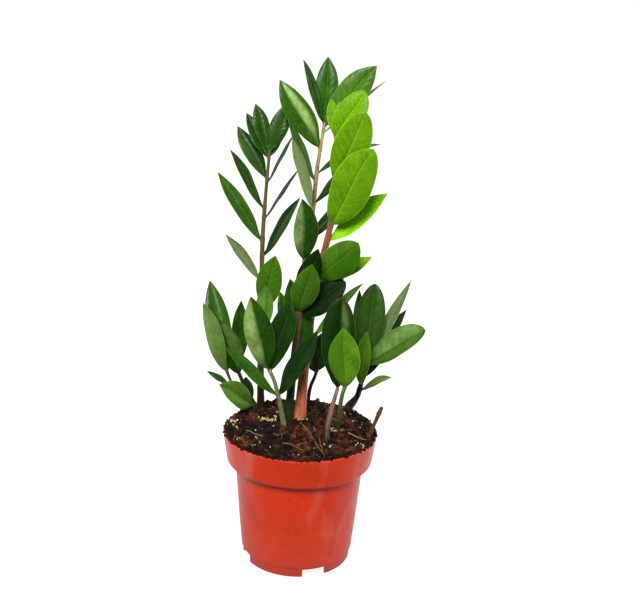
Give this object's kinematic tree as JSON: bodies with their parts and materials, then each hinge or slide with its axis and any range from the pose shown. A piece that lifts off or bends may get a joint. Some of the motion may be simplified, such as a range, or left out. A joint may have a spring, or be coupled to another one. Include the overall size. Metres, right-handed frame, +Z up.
{
  "type": "potted zz plant",
  "caption": "Potted ZZ plant: glossy pinnate shoots of pointed leaves on upright stems, standing in a tapered orange-red plastic nursery pot full of potting mix.",
  "frame": {"origin": "on the surface the pot stands on, under the middle of the whole plant's plan box; the pot's axis is 7.2 mm to the -X side of it", "axes": "+Z up along the pot's axis; the plant's widest spread is along X, and its front, with the shortest shoots nearest the lip, faces -Y"},
  "size_m": [0.1689, 0.117, 0.3756],
  "materials": {
    "pot": "satin",
    "soil": "matte",
    "twig": "matte",
    "stem_olive": "satin",
    "stem_orange": "satin",
    "leaf_dark": "gloss",
    "leaf_lime": "gloss"
  },
  "bodies": {
    "root": {"pot": "pot", "soil": "soil", "dead_twig": "twig", "stem_tall_left": "stem_olive", "leaf_tall_left_01": "leaf_dark", "leaf_tall_left_02": "leaf_dark", "leaf_tall_left_03": "leaf_dark", "leaf_tall_left_04": "leaf_dark", "leaf_tall_left_05": "leaf_dark", "leaf_tall_left_06": "leaf_dark", "leaf_tall_left_07": "leaf_dark", "leaf_tall_left_08": "leaf_dark", "leaf_tall_left_09": "leaf_dark", "leaf_tall_left_10": "leaf_dark", "stem_tall_back": "stem_olive", "leaf_tall_back_01": "leaf_dark", "leaf_tall_back_02": "leaf_dark", "leaf_tall_back_03": "leaf_dark", "leaf_tall_back_04": "leaf_dark", "leaf_tall_back_05": "leaf_dark", "leaf_tall_back_06": "leaf_dark", "leaf_tall_back_07": "leaf_dark", "leaf_tall_back_08": "leaf_dark", "leaf_tall_back_09": "leaf_dark", "leaf_tall_back_10": "leaf_dark", "leaf_tall_back_11": "leaf_dark", "leaf_tall_back_12": "leaf_dark", "leaf_tall_back_13": "leaf_dark", "stem_lime": "stem_orange", "leaf_lime_01": "leaf_lime", "leaf_lime_02": "leaf_lime", "leaf_lime_03": "leaf_lime", "leaf_lime_04": "leaf_lime", "leaf_lime_05": "leaf_lime", "leaf_lime_06": "leaf_lime", "leaf_lime_07": "leaf_lime", "stem_front": "stem_olive", "leaf_front_01": "leaf_dark", "leaf_front_02": "leaf_dark", "leaf_front_03": "leaf_dark", "leaf_front_04": "leaf_dark", "stem_left_outer": "stem_olive", "leaf_left_outer_01": "leaf_dark", "leaf_left_outer_02": "leaf_dark", "stem_left_inner": "stem_olive", "leaf_left_inner_01": "leaf_dark", "leaf_left_inner_02": "leaf_dark", "leaf_left_inner_03": "leaf_dark", "stem_right_brown": "stem_olive", "leaf_right_brown_01": "leaf_dark", "stem_right_green": "stem_olive", "leaf_right_green_01": "leaf_dark", "stem_right_dark": "stem_olive", "leaf_right_dark_01": "leaf_dark", "leaf_right_dark_02": "leaf_dark", "leaf_right_dark_03": "leaf_dark", "leaf_right_dark_04": "leaf_dark", "leaf_right_dark_05": "leaf_dark", "stem_centre_back": "stem_olive", "leaf_centre_back_01": "leaf_dark"}
  },
  "joints": []
}
